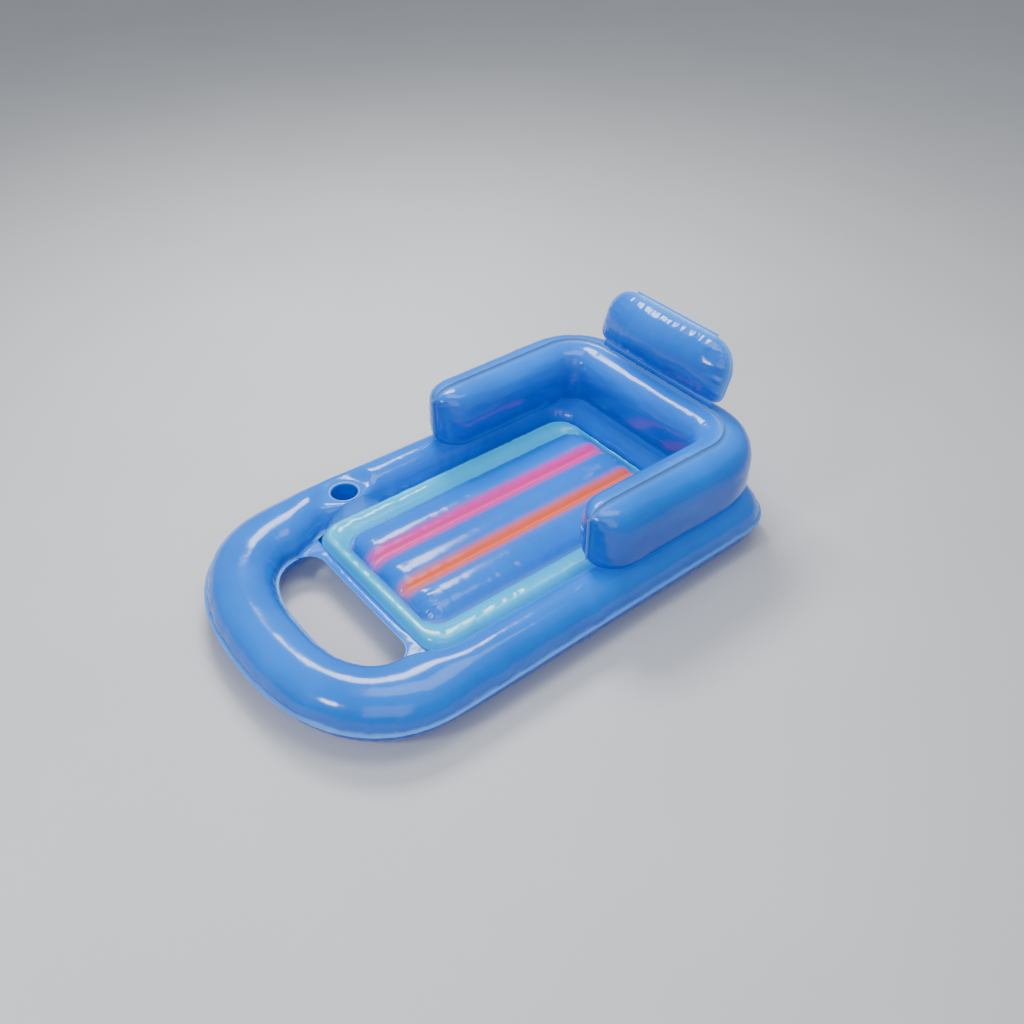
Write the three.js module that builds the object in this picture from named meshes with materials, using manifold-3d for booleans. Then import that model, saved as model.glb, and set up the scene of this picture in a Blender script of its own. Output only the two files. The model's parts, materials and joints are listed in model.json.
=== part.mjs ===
// Inflatable pool lounge: a floating base ring with a foot opening, a webbed seat mattress hung in
// the ring by a coloured border sheet, a U-shaped arm and back rest, and a head pillow that tilts on
// its weld seam. Every air chamber is a pair of vinyl sheets with a valve. Millimetres, +Z up,
// +Y towards the head, origin at floor level in the middle of the footprint.
import * as THREE from "three";
import { mergeVertices } from "three/addons/utils/BufferGeometryUtils.js";
import Module from "manifold-3d";

const wasm = await Module();
wasm.setup();

// ---------------------------------------------------------------- driving dimensions
const SHEET = 0.5; // vinyl sheet thickness
const GAP = 0.3; // clearance between pieces that touch or are welded
const FLANGE = 8; // width of a weld flange

const BASE_WIDTH = 840; // over the outer flanges, at the widest
const HEAD_WIDTH = 808; // over the outer flanges, at the head end
const BASE_LENGTH = 1358;
const BASE_CORNER = 131; // head corner radius of the outline
const TUBE_HEIGHT = 146; // base ring tube
const FOOT_DEPTH = 318; // how far the rounded foot end reaches along Y
const FOOT_ROUNDNESS = 2.3; // superellipse exponent of the foot end
const FLOOR_FLAT = 2; // how much the tube's round bottom is flattened where it rests

const FOOT_TUBE = 174; // foot end tube width, tip to tip of its flanges
const FOOT_OPENING_WIDTH = 440;
const FOOT_OPENING_DEPTH = 155;
const FOOT_OPENING_ROUND = 120; // depth of its rounded part
const OPENING_ROUNDNESS = 2.6;
const CROSS_BAND = 28; // band of sheet between the foot opening and the seat
const BAND_CORNER = 50; // radius where the band flares out onto the ring

const SEAT_WELL_WIDTH = 530; // between the ring's inner flange tips
const HEAD_TUBE = 187; // head end tube width, tip to tip
const WELL_CORNER = 60;

const SEAT_WIDTH = 380; // mattress, seam to seam
const SEAT_SEAM_Z = 85;
const SEAT_CORNER = 50;
const SEAT_FRONT_MARGIN = 45; // border width ahead of the mattress
const SEAT_BACK_MARGIN = 24; // and behind it
const SEAT_ROLL = 35; // crest height of the mattress above and below its seam
const SEAT_END_ROUND = 50; // length over which the rolls close at each end
const BORDER_OVERLAP = 5; // how far the border lies on the ring's flange and the band
const RIDGE_Z = 103; // top of the weld ridge along the border
const RIDGE_WIDTH = 486; // from ridge to ridge
const RIDGE_END_MARGIN = 15; // from the border's end edge to the ridge

const WEB_SPACING = 134; // between the two webs
const WEB_HALF_HEIGHT = 18;
const WEB_FLANGE = 16; // width of a web's welded edge
const WEB_WALL = 0.8;
const WEB_FRONT_MARGIN = 52; // from the mattress seam to the web's end
const WEB_BACK_MARGIN = 52;

const CUP_RADIUS = 34; // inside of the cup holder
const CUP_DEPTH = 72;
const CUP_RIM = 5; // rim width
const CUP_PAD_Z = 128; // the ring's top sheet is level around the cup holder
const CUP_WALL_MARGIN = 8; // from the well's wall to the foot of the ring's inner flank
const CUP_FROM_FOOT = 481; // from the foot end to the cup's middle
const CUP_PAD_MARGIN = 32; // the level pad reaches this far round the well
const CUP_PAD_BLEND = 34; // and turns into the tube over this

const REST_HALF_SPAN = 304; // from the middle to an arm's middle
const REST_THICKNESS = 146;
const REST_BOTTOM_Z = 147;
const REST_TOP_Z = 318;
const REST_LENGTH = 499; // from the arms' front ends to the middle of the back
const REST_BACK_MARGIN = 94; // from the middle of the back to the head end
const REST_CORNER = 110;
const REST_END_ROUND = 74;
const REST_FULLNESS = 2.5; // superellipse exponent of the rest's section

const PILLOW_WIDTH = 424; // seam to seam
const PILLOW_HEIGHT = 152;
const PILLOW_THICKNESS = 92;
const PILLOW_TOP_CORNER = 64;
const PILLOW_FOOT_CORNER = 30;
const PILLOW_LEAN = 20; // degrees back from upright
const HINGE_STRIP = 10; // visible height of the strip the pillow hangs on
const HINGE_MARGIN = 12; // the strip is this much narrower than the pillow at each side

const VALVE_FLANGE_RADIUS = 15;
const VALVE_FLANGE_THICKNESS = 1;
const STEM_RADIUS = 6.5;
const STEM_BORE = 4.4;
const STEM_OUT = 13; // stem above its flange
const STEM_IN = 5; // stem below its flange
const PLUG_RADIUS = 4.1;
const PLUG_LENGTH = 8;
const PLUG_HEAD_RADIUS = 7.5;
const PLUG_HEAD = 2.5;
const STRAP_WIDTH = 5;
const STRAP_WALL = 1.2;
const STRAP_REACH = 6; // how far the strap's loop stands out beside the plug
const STRAP_DROP = 4; // from the stem's mouth down to the strap's lower end
const FLAP_RADIUS = 5.6;
const FLAP_WALL = 0.8;

// ---------------------------------------------------------------- looks
const vinyl = (color) =>
  new THREE.MeshStandardMaterial({ color, roughness: 0.22, metalness: 0 });
const BLUE = 0x2f7fdc;
const CYAN = 0x35bfe8;
const PINK = 0xe8479f;
const ORANGE = 0xff6a22;
const VALVE_TINT = 0xd8e9f7;

// ---------------------------------------------------------------- helpers
const flat = (x, y) => new THREE.Vector2(x, y);
const deg = THREE.MathUtils.degToRad;
const range = (n, f) => Array.from({ length: n }, (_, i) => f(i));

/** Rounded quarter from (0, -depth) out to (half, 0), fuller than an ellipse when power > 2. */
class SuperQuarter extends THREE.Curve {
  constructor(centreY, half, depth, power) {
    super();
    Object.assign(this, { centreY, half, depth, power });
  }
  getPoint(t, target = new THREE.Vector2()) {
    const share = (v) => Math.pow(Math.max(v, 0), 2 / this.power);
    return target.set(
      this.half * share(Math.sin((t * Math.PI) / 2)),
      this.centreY - this.depth * share(Math.cos((t * Math.PI) / 2)),
    );
  }
}

/** Points along [curve, steps] pieces laid end to end. */
const sample = (pieces) =>
  pieces.flatMap(([curve, steps], k) =>
    range(steps + (k === 0 ? 1 : 0), (i) =>
      curve.getPoint((k === 0 ? i : i + 1) / steps),
    ),
  );

/** The +X half of an outline, foot to head, closed by its mirror image. */
const closeByMirror = (half) => [
  ...half,
  ...half.slice(1, -1).reverse().map((p) => flat(-p.x, p.y)),
];

const line = (x0, y0, x1, y1) => new THREE.LineCurve(flat(x0, y0), flat(x1, y1));
const quarter = (cx, cy, r, from) =>
  new THREE.EllipseCurve(cx, cy, r, r, from, from + Math.PI / 2);

/**
 * A sheet of constant thickness. grid[i][j] is its outer face, which looks along
 * (next i) x (next j); the wall lies behind it. A closed sheet joins its last row to its first.
 */
function sheetGeometry(grid, closed = false, wall = SHEET) {
  const rows = grid.length;
  const columns = grid[0].length;
  const at = (i, j) => grid[closed ? (i + rows) % rows : THREE.MathUtils.clamp(i, 0, rows - 1)][
    THREE.MathUtils.clamp(j, 0, columns - 1)];
  const points = [];
  for (const back of [0, wall])
    for (let i = 0; i < rows; i++)
      for (let j = 0; j < columns; j++) {
        const along = at(i + 1, j).clone().sub(at(i - 1, j)).normalize();
        const before = at(i, j).clone().sub(at(i, j - 1)).normalize();
        const after = at(i, j + 1).clone().sub(at(i, j)).normalize();
        const normal = along.cross(before.add(after)).normalize();
        points.push(at(i, j).clone().addScaledVector(normal, -back));
      }
  const face = (i, j) => ((i + rows) % rows) * columns + j;
  const rear = (i, j) => rows * columns + face(i, j);
  const index = [];
  const quad = (a, b, c, d) => index.push(a, b, c, a, c, d);
  const last = columns - 1;
  const bays = closed ? rows : rows - 1;
  for (let i = 0; i < bays; i++) {
    for (let j = 0; j < last; j++) {
      quad(face(i, j), face(i + 1, j), face(i + 1, j + 1), face(i, j + 1));
      quad(rear(i, j), rear(i, j + 1), rear(i + 1, j + 1), rear(i + 1, j));
    }
    quad(rear(i, 0), rear(i + 1, 0), face(i + 1, 0), face(i, 0));
    quad(face(i, last), face(i + 1, last), rear(i + 1, last), rear(i, last));
  }
  if (!closed)
    for (let j = 0; j < last; j++) {
      quad(face(0, j), face(0, j + 1), rear(0, j + 1), rear(0, j));
      const end = rows - 1;
      quad(rear(end, j), rear(end, j + 1), face(end, j + 1), face(end, j));
    }
  const geometry = new THREE.BufferGeometry().setFromPoints(points);
  geometry.setIndex(index);
  geometry.computeVertexNormals();
  return geometry;
}

function toManifold(geometry) {
  const plain = geometry.clone();
  plain.deleteAttribute("normal");
  plain.deleteAttribute("uv");
  const merged = mergeVertices(plain, 1e-4);
  return new wasm.Manifold(
    new wasm.Mesh({
      numProp: 3,
      vertProperties: merged.attributes.position.array,
      triVerts: new Uint32Array(merged.index.array),
    }),
  );
}

/** geometry with the cutters, which are geometries in the same frame, taken out of it. */
function cut(geometry, ...cutters) {
  let solid = toManifold(geometry);
  for (const cutter of cutters) solid = solid.subtract(toManifold(cutter));
  return fromManifold(solid);
}

function fromManifold(solid) {
  const { numVert, numProp, vertProperties, triVerts } = solid.getMesh();
  const positions = new Float32Array(numVert * 3);
  for (let i = 0; i < numVert; i++)
    positions.set(vertProperties.subarray(i * numProp, i * numProp + 3), i * 3);
  const geometry = new THREE.BufferGeometry()
    .setAttribute("position", new THREE.BufferAttribute(positions, 3))
    .setIndex(new THREE.BufferAttribute(triVerts, 1));
  geometry.computeVertexNormals();
  return geometry;
}

/** A round rod along +Z from z0 to z1. */
const rod = (radius, z0, z1, sides = 16) =>
  new THREE.CylinderGeometry(radius, radius, z1 - z0, sides)
    .rotateX(Math.PI / 2)
    .translate(0, 0, (z0 + z1) / 2);

/** Turns a closed profile of [radius, height] pairs about +Z. */
const turned = (profile, sides) => {
  const closed = [...profile, profile[0]].map(([r, z]) => flat(r, z));
  return new THREE.LatheGeometry(closed, sides).rotateX(Math.PI / 2);
};

const model = new THREE.Group();
const add = (name, geometry, color, parent = model) => {
  const mesh = new THREE.Mesh(geometry, vinyl(color));
  mesh.name = name;
  parent.add(mesh);
  return mesh;
};

// ---------------------------------------------------------------- base ring
const footY = -BASE_LENGTH / 2;
const headY = BASE_LENGTH / 2;
const shoulderY = footY + FOOT_DEPTH;
const openingFootY = footY + FOOT_TUBE;
const openingBackY = openingFootY + FOOT_OPENING_DEPTH;
const openingShoulderY = openingFootY + FOOT_OPENING_ROUND;
const wellFrontY = openingBackY + CROSS_BAND;
const wellBackY = headY - HEAD_TUBE;
const wellHalf = SEAT_WELL_WIDTH / 2;
const tubeZ = TUBE_HEIGHT / 2;
const cupX = -(wellHalf + FLANGE + CUP_WALL_MARGIN + CUP_RADIUS);
const cupY = footY + CUP_FROM_FOOT;
const padRadius = CUP_RADIUS + CUP_PAD_MARGIN;
const padReach = padRadius + CUP_PAD_BLEND;
const cupZoneY = [cupY - padReach, cupY + padReach];
const restBackY = headY - REST_BACK_MARGIN;
const restFrontY = restBackY - REST_LENGTH;

const outerHalfAt = (y) =>
  THREE.MathUtils.mapLinear(y, shoulderY, headY - BASE_CORNER, BASE_WIDTH / 2, HEAD_WIDTH / 2);
const outerLine = (y0, y1) => line(outerHalfAt(y0), y0, outerHalfAt(y1), y1);
const outerCornerY = headY - BASE_CORNER;
const ringSteps = { foot: 11, shoulder: 1, cup: 8, side: 5, corner: 4, head: 2 };

const ringOuter = closeByMirror(
  sample([
    [new SuperQuarter(shoulderY, BASE_WIDTH / 2, FOOT_DEPTH, FOOT_ROUNDNESS), ringSteps.foot],
    [outerLine(shoulderY, cupZoneY[0]), ringSteps.shoulder],
    [outerLine(...cupZoneY), ringSteps.cup],
    [outerLine(cupZoneY[1], outerCornerY), ringSteps.side],
    [quarter(HEAD_WIDTH / 2 - BASE_CORNER, outerCornerY, BASE_CORNER, 0), ringSteps.corner],
    [line(HEAD_WIDTH / 2 - BASE_CORNER, headY, 0, headY), ringSteps.head],
  ]),
);
const ringInner = closeByMirror(
  sample([
    [
      new SuperQuarter(openingShoulderY, FOOT_OPENING_WIDTH / 2, FOOT_OPENING_ROUND, OPENING_ROUNDNESS),
      ringSteps.foot,
    ],
    [line(FOOT_OPENING_WIDTH / 2, openingShoulderY, wellHalf, cupZoneY[0]), ringSteps.shoulder],
    [line(wellHalf, cupZoneY[0], wellHalf, cupZoneY[1]), ringSteps.cup],
    [line(wellHalf, cupZoneY[1], wellHalf, wellBackY - WELL_CORNER), ringSteps.side],
    [quarter(wellHalf - WELL_CORNER, wellBackY - WELL_CORNER, WELL_CORNER, 0), ringSteps.corner],
    [line(wellHalf - WELL_CORNER, wellBackY, 0, wellBackY), ringSteps.head],
  ]),
);

/** How level the ring's top sheet is at a place in plan: 1 on the cup holder's pad, 0 away from it. */
const padShare = (x, y) =>
  1 - THREE.MathUtils.smoothstep(Math.hypot(x - cupX, y - cupY), padRadius, padReach);

const TUBE_STEPS = 11;

/** One sheet of the ring: side is 1 for the upper sheet and -1 for the lower. */
function ringSheet(side) {
  const seam = GAP / 2 + SHEET;
  return ringOuter.map((outer, i) => {
    const across = outer.clone().sub(ringInner[i]);
    const middle = outer.clone().add(ringInner[i]).multiplyScalar(0.5);
    const half = across.length() / 2 - FLANGE;
    across.normalize();
    const rise = tubeZ - seam + FLOOR_FLAT;
    const place = (offset, height) => {
      const p = middle.clone().addScaledVector(across, offset);
      let z = Math.min(seam + height, tubeZ);
      if (side > 0 && height > 0) z += (CUP_PAD_Z - tubeZ - z) * padShare(p.x, p.y);
      return new THREE.Vector3(p.x, p.y, tubeZ + side * z);
    };
    const arc = range(TUBE_STEPS + 1, (k) => {
      const angle = (Math.PI * k) / TUBE_STEPS;
      const ends = k === 0 || k === TUBE_STEPS;
      return place(half * Math.cos(angle), ends ? 0 : rise * Math.sin(angle));
    });
    const section = [place(half + FLANGE, 0), ...arc, place(-half - FLANGE, 0)];
    return side > 0 ? section : section.reverse();
  });
}

const cupHole = rod(CUP_RADIUS + SHEET + GAP, tubeZ + 20, TUBE_HEIGHT + 20, 24).translate(cupX, cupY, 0);

// The cross band lies level with the ring's seam, and its ends reach over the ring's inner flange.
const bandZ = tubeZ + GAP / 2 + SHEET + GAP;
const bandHalfAt = (y) =>
  THREE.MathUtils.mapLinear(
    Math.max(y, openingShoulderY), openingShoulderY, cupZoneY[0], FOOT_OPENING_WIDTH / 2, wellHalf,
  ) + FLANGE / 2;
const flareTipY = openingBackY - BAND_CORNER;
const bandFlare = quarter(FOOT_OPENING_WIDTH / 2 - BAND_CORNER, flareTipY, BAND_CORNER, 0);
const bandHalf = [
  ...[wellFrontY, openingShoulderY, flareTipY].map((y) => flat(bandHalfAt(y), y)),
  ...sample([[bandFlare, 6]]),
];
const crossBand = new THREE.ExtrudeGeometry(
  new THREE.Shape([...bandHalf.map((p) => flat(-p.x, p.y)), ...bandHalf.reverse()]),
  { depth: 2 * SHEET, bevelEnabled: false },
).translate(0, 0, bandZ);

// ---------------------------------------------------------------- seat
const borderHalf = wellHalf + BORDER_OVERLAP;
const borderFrontY = wellFrontY - BORDER_OVERLAP;
const borderBackY = wellBackY + BORDER_OVERLAP;
const borderEdgeZ = bandZ + 2 * SHEET + GAP + SHEET;
const seatHalf = SEAT_WIDTH / 2;
const seatFrontY = borderFrontY + SEAT_FRONT_MARGIN;
const seatBackY = borderBackY - SEAT_BACK_MARGIN;
const borderInnerZ = SEAT_SEAM_Z + GAP / 2 + SHEET + GAP + SHEET;

/** A rounded rectangle as a closed outline, with the same number of points whatever its size. */
const roundedWell = (half, frontY, backY, radius) =>
  closeByMirror(
    sample([
      [line(0, frontY, half - radius, frontY), 3],
      [quarter(half - radius, frontY + radius, radius, -Math.PI / 2), 5],
      [line(half, frontY + radius, half, frontY + radius + 60), 2],
      [line(half, frontY + radius + 60, half, backY - radius), 4],
      [quarter(half - radius, backY - radius, radius, 0), 4],
      [line(half - radius, backY, 0, backY), 2],
    ]),
  );

const seatOutline = (grow) =>
  roundedWell(seatHalf + grow, seatFrontY - grow, seatBackY + grow, SEAT_CORNER + grow);
const borderOuter = roundedWell(borderHalf, borderFrontY, borderBackY, WELL_CORNER + BORDER_OVERLAP);
const borderRidge = roundedWell(
  RIDGE_WIDTH / 2, borderFrontY + RIDGE_END_MARGIN, borderBackY - RIDGE_END_MARGIN, SEAT_CORNER + 5,
);
const borderInner = [FLANGE, 2].map(seatOutline);
const lift = (p, z) => new THREE.Vector3(p.x, p.y, z);
const borderSheet = borderOuter.map((p, i) => [
  lift(p, borderEdgeZ),
  lift(borderRidge[i], RIDGE_Z),
  ...borderInner.map((outline) => lift(outline[i], borderInnerZ)),
]);

/** Height of the mattress face above its seam, as [x, height] pairs from the middle outwards. */
function seatProfile() {
  const weld = [WEB_SPACING / 2 - WEB_FLANGE / 2, WEB_SPACING / 2 + WEB_FLANGE / 2];
  const middle = range(4, (k) => {
    const angle = deg(30 * k);
    return [weld[0] * Math.sin(angle), WEB_HALF_HEIGHT + (SEAT_ROLL - WEB_HALF_HEIGHT) * Math.cos(angle)];
  });
  const outerHalf = (seatHalf - weld[1]) / 2;
  const outer = range(7, (k) => {
    const angle = deg(30 * k - 90);
    const share = (1 + Math.sin(angle)) / 2;
    const crest = SEAT_ROLL - WEB_HALF_HEIGHT / 2;
    return [
      weld[1] + outerHalf * (1 + Math.sin(angle)),
      WEB_HALF_HEIGHT * (1 - share) + crest * Math.cos(angle),
    ];
  });
  return [...middle, ...outer, [seatHalf + FLANGE, 0]];
}

/** One face of the mattress: side is 1 for the upper sheet and -1 for the lower. */
function seatSheet(side) {
  const half = seatProfile();
  const profile = [...half.slice(1).reverse().map(([x, z]) => [-x, z]), ...half];
  const closing = range(4, (k) => deg(30 * k));
  const rows = [
    [seatFrontY - FLANGE, 0],
    ...closing.map((a) => [seatFrontY + SEAT_END_ROUND * (1 - Math.cos(a)), Math.sin(a)]),
    ...range(2, (k) => [THREE.MathUtils.lerp(seatFrontY, seatBackY, (k + 1) / 3), 1]),
    ...closing.reverse().map((a) => [seatBackY - SEAT_END_ROUND * (1 - Math.cos(a)), Math.sin(a)]),
    [seatBackY + FLANGE, 0],
  ];
  return rows.map(([y, rise]) => {
    const intoCorner = Math.max(seatFrontY + SEAT_CORNER - y, y - seatBackY + SEAT_CORNER, 0);
    const depth = Math.min(intoCorner, SEAT_CORNER);
    const inset = SEAT_CORNER - Math.sqrt(SEAT_CORNER ** 2 - depth ** 2);
    const squeeze = (seatHalf - inset) / seatHalf;
    const row = profile.map(
      ([x, z]) =>
        new THREE.Vector3(
          x * squeeze,
          y,
          SEAT_SEAM_Z + side * (GAP / 2 + SHEET + z * rise),
        ),
    );
    return side > 0 ? row.reverse() : row;
  });
}

/** A web: an upright strip with a welded edge at its top and bottom, along +Y. */
function seatWeb() {
  const top = WEB_HALF_HEIGHT + GAP / 2 - GAP - 0.1;
  const wall = WEB_WALL / 2;
  const edge = WEB_FLANGE / 2 - 2;
  const corner = [
    [wall, top - SHEET],
    [edge, top - SHEET],
    [edge, top],
  ];
  const outline = [
    ...corner,
    ...corner.map(([x, z]) => [-x, z]).reverse(),
    ...corner.map(([x, z]) => [-x, -z]),
    ...corner.map(([x, z]) => [x, -z]).reverse(),
  ];
  const front = seatFrontY + WEB_FRONT_MARGIN;
  const length = seatBackY - WEB_BACK_MARGIN - front;
  const shape = new THREE.Shape(outline.map(([x, z]) => flat(x, z)));
  return new THREE.ExtrudeGeometry(shape, { depth: length, bevelEnabled: false })
    .rotateX(Math.PI / 2)
    .translate(0, front + length, SEAT_SEAM_Z);
}

// ---------------------------------------------------------------- cup holder
const cupTop = CUP_PAD_Z + GAP;
const cupLiner = turned(
  [
    [0, cupTop - CUP_DEPTH - SHEET],
    [CUP_RADIUS + SHEET, cupTop - CUP_DEPTH - SHEET],
    [CUP_RADIUS + SHEET, cupTop],
    [CUP_RADIUS + SHEET + CUP_RIM, cupTop],
    [CUP_RADIUS + SHEET + CUP_RIM, cupTop + SHEET],
    [CUP_RADIUS, cupTop + SHEET],
    [CUP_RADIUS, cupTop - CUP_DEPTH],
    [0, cupTop - CUP_DEPTH],
  ],
  24,
).translate(cupX, cupY, 0);

// ---------------------------------------------------------------- arm and back rest
const restHalfPath = sample([
  [line(0, restBackY, REST_HALF_SPAN - REST_CORNER, restBackY), 3],
  [
    new THREE.EllipseCurve(
      REST_HALF_SPAN - REST_CORNER, restBackY - REST_CORNER, REST_CORNER, REST_CORNER, Math.PI / 2, 0, true,
    ),
    5,
  ],
  [line(REST_HALF_SPAN, restBackY - REST_CORNER, REST_HALF_SPAN, restFrontY + REST_END_ROUND), 4],
  [
    new (class extends THREE.Curve {
      getPoint(t) {
        return flat(REST_HALF_SPAN, restFrontY + REST_END_ROUND * (1 - Math.sin((t * Math.PI) / 2)));
      }
    })(),
    4,
  ],
  [line(REST_HALF_SPAN, restFrontY, REST_HALF_SPAN, restFrontY - FLANGE), 1],
]);
const restPath = [...restHalfPath.slice(1).reverse(), ...restHalfPath.map((p) => flat(-p.x, p.y))];

const REST_STEPS = 10;

/** One wall of the rest: side is 1 for the outer sheet and -1 for the inner, towards the sitter. */
function restSheet(side) {
  const seam = GAP / 2 + SHEET;
  const middleZ = (REST_TOP_Z + REST_BOTTOM_Z) / 2;
  const halfHeight = (REST_TOP_Z - REST_BOTTOM_Z) / 2;
  return restPath.map((p, i) => {
    const ahead = restPath[Math.min(i + 1, restPath.length - 1)];
    const behind = restPath[Math.max(i - 1, 0)];
    const outward = flat(ahead.y - behind.y, behind.x - ahead.x).normalize();
    const fromEnd = THREE.MathUtils.clamp((p.y - restFrontY) / REST_END_ROUND, 0, 1);
    const half = (REST_THICKNESS / 2 - seam) * Math.sqrt(1 - (1 - fromEnd) ** 2);
    const place = (offset, z) =>
      new THREE.Vector3(p.x + outward.x * side * offset, p.y + outward.y * side * offset, z);
    const full = (v) => Math.sign(v) * Math.pow(Math.abs(v), 2 / REST_FULLNESS);
    const arc = range(REST_STEPS + 1, (k) => {
      const angle = (Math.PI * k) / REST_STEPS;
      const swell = k === 0 || k === REST_STEPS ? 0 : full(Math.sin(angle));
      return place(seam + half * swell, middleZ + halfHeight * full(Math.cos(angle)));
    });
    const section = [place(seam, REST_TOP_Z + FLANGE), ...arc];
    return side > 0 ? section.reverse() : section;
  });
}

// ---------------------------------------------------------------- head pillow
// Its group stands on the hinge line, the weld seam on top of the rest, and leans back from there.
const pillow = new THREE.Group();
const hingeZ = REST_TOP_Z + FLANGE + GAP + HINGE_STRIP / 2;
pillow.position.set(0, restBackY, hingeZ);
pillow.rotation.x = -deg(PILLOW_LEAN);
model.add(pillow);
const SWELL_POWER = 0.32; // how squarely the pillow swells from its seams
const pillowFootZ = HINGE_STRIP / 2 + GAP;

/** How far the pillow's side seam steps in at a height above its lower seam. */
function pillowInset(height) {
  const [radius, beyond] =
    height < PILLOW_HEIGHT / 2
      ? [PILLOW_FOOT_CORNER, PILLOW_FOOT_CORNER - height]
      : [PILLOW_TOP_CORNER, height - PILLOW_HEIGHT + PILLOW_TOP_CORNER];
  const depth = THREE.MathUtils.clamp(beyond, 0, radius);
  return radius - Math.sqrt(radius ** 2 - depth ** 2);
}

/** One face of the pillow: side is 1 for the back sheet and -1 for the front. */
function pillowSheet(side) {
  const steps = range(9, (k) => Math.sin(deg(22.5 * k - 90)));
  const spread = [-1, ...steps, 1];
  const low = pillowFootZ + FLANGE;
  const last = spread.length - 1;
  return spread.map((v, r) => {
    const height = (PILLOW_HEIGHT * (1 + v)) / 2;
    const half = PILLOW_WIDTH / 2 - pillowInset(height);
    const z = low + height + (r === 0 ? -FLANGE : 0) + (r === last ? FLANGE : 0);
    const row = spread.map((u, c) => {
      const x = u * half + (c === 0 ? -FLANGE : 0) + (c === last ? FLANGE : 0);
      const bulge = Math.pow(Math.max(1 - u * u, 0) * Math.max(1 - v * v, 0), SWELL_POWER);
      return new THREE.Vector3(x, side * (GAP / 2 + SHEET + (PILLOW_THICKNESS / 2 - SHEET) * bulge), z);
    });
    return side > 0 ? row : row.reverse();
  });
}

const hingeStrip = new THREE.BoxGeometry(PILLOW_WIDTH - 2 * HINGE_MARGIN, 2 * SHEET, HINGE_STRIP);

// ---------------------------------------------------------------- valves
/**
 * A valve on the chamber wall at `point`, looking along `out`. Returns the hole that the wall needs.
 * Nodes: the welded flange, the stem that pushes in, its plug, the plug's strap and the check flap.
 */
function addValve(name, point, out, parent = model) {
  const valve = new THREE.Group();
  valve.position.copy(point);
  valve.quaternion.setFromUnitVectors(new THREE.Vector3(0, 0, 1), out.clone().normalize());
  parent.add(valve);
  const floor = GAP;
  const top = floor + VALVE_FLANGE_THICKNESS;
  const stemTop = top + STEM_OUT;
  const stemFoot = floor - STEM_IN;
  const stemSide = STEM_RADIUS + GAP;
  add(
    name + "_flange",
    turned([[stemSide, floor], [VALVE_FLANGE_RADIUS, floor], [VALVE_FLANGE_RADIUS - 1, top], [stemSide, top]], 20),
    VALVE_TINT,
    valve,
  );
  add(
    name + "_stem",
    turned([[STEM_BORE, stemFoot], [STEM_RADIUS, stemFoot], [STEM_RADIUS, stemTop], [STEM_BORE, stemTop]], 16),
    VALVE_TINT,
    valve,
  );
  const headZ = stemTop + GAP;
  const plug = turned(
    [
      [0, stemTop - PLUG_LENGTH],
      [PLUG_RADIUS - 0.6, stemTop - PLUG_LENGTH],
      [PLUG_RADIUS, stemTop - PLUG_LENGTH + 2],
      [PLUG_RADIUS, headZ],
      [PLUG_HEAD_RADIUS, headZ],
      [PLUG_HEAD_RADIUS, headZ + PLUG_HEAD],
      [0, headZ + PLUG_HEAD],
    ],
    16,
  );
  add(name + "_plug", plug, VALVE_TINT, valve);
  // The strap loops from the plug's head down to the side of the stem.
  const near = PLUG_HEAD_RADIUS + GAP;
  const far = near + STRAP_REACH;
  const foot = stemTop - STRAP_DROP;
  const head = headZ + PLUG_HEAD / 2 - STRAP_WALL / 2;
  const middle = (head + foot) / 2;
  const strapShape = new THREE.Shape();
  strapShape.moveTo(near, head + STRAP_WALL);
  strapShape.quadraticCurveTo(far, head + STRAP_WALL, far, middle);
  strapShape.quadraticCurveTo(far, foot, near, foot);
  strapShape.lineTo(near, foot + STRAP_WALL);
  strapShape.quadraticCurveTo(far - STRAP_WALL, foot + STRAP_WALL, far - STRAP_WALL, middle);
  strapShape.quadraticCurveTo(far - STRAP_WALL, head, near, head);
  const strap = new THREE.ExtrudeGeometry(strapShape, { depth: STRAP_WIDTH, bevelEnabled: false, curveSegments: 4 })
    .rotateX(Math.PI / 2)
    .translate(0, STRAP_WIDTH / 2, 0);
  add(name + "_strap", strap, VALVE_TINT, valve);
  const flapTop = stemFoot - GAP;
  add(name + "_flap", rod(FLAP_RADIUS, flapTop - FLAP_WALL, flapTop), VALVE_TINT, valve);
  valve.updateMatrix();
  return rod(stemSide, -20, 20).applyMatrix4(valve.matrix);
}

// Ring: on the head end tube, high on its rear flank, behind the rest.
const headTubeHalf = HEAD_TUBE / 2 - FLANGE;
const ringValveAngle = deg(38);
const ringValveAt = new THREE.Vector3(
  150,
  headY - HEAD_TUBE / 2 + headTubeHalf * Math.cos(ringValveAngle),
  tubeZ + (tubeZ + FLOOR_FLAT) * Math.sin(ringValveAngle),
);
const ringValveOut = new THREE.Vector3(0, Math.cos(ringValveAngle) * tubeZ, Math.sin(ringValveAngle) * headTubeHalf);
const ringValveHole = addValve("base_valve", ringValveAt, ringValveOut);

// Seat: under the middle roll, near the head end.
const seatValveAt = new THREE.Vector3(0, seatBackY - 120, SEAT_SEAM_Z - SEAT_ROLL - SHEET - GAP / 2);
const seatValveHole = addValve("seat_valve", seatValveAt, new THREE.Vector3(0, 0, -1));

// Rest: on the back, outside.
const restValveAt = new THREE.Vector3(-110, restBackY + REST_THICKNESS / 2, (REST_TOP_Z + REST_BOTTOM_Z) / 2);
const restValveHole = addValve("rest_valve", restValveAt, new THREE.Vector3(0, 1, 0));

// Pillow: on its back face.
const pillowValveAt = new THREE.Vector3(
  0,
  PILLOW_THICKNESS / 2 + GAP / 2,
  pillowFootZ + FLANGE + PILLOW_HEIGHT / 2,
);
const pillowValveHole = addValve("pillow_valve", pillowValveAt, new THREE.Vector3(0, 1, 0), pillow);

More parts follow.
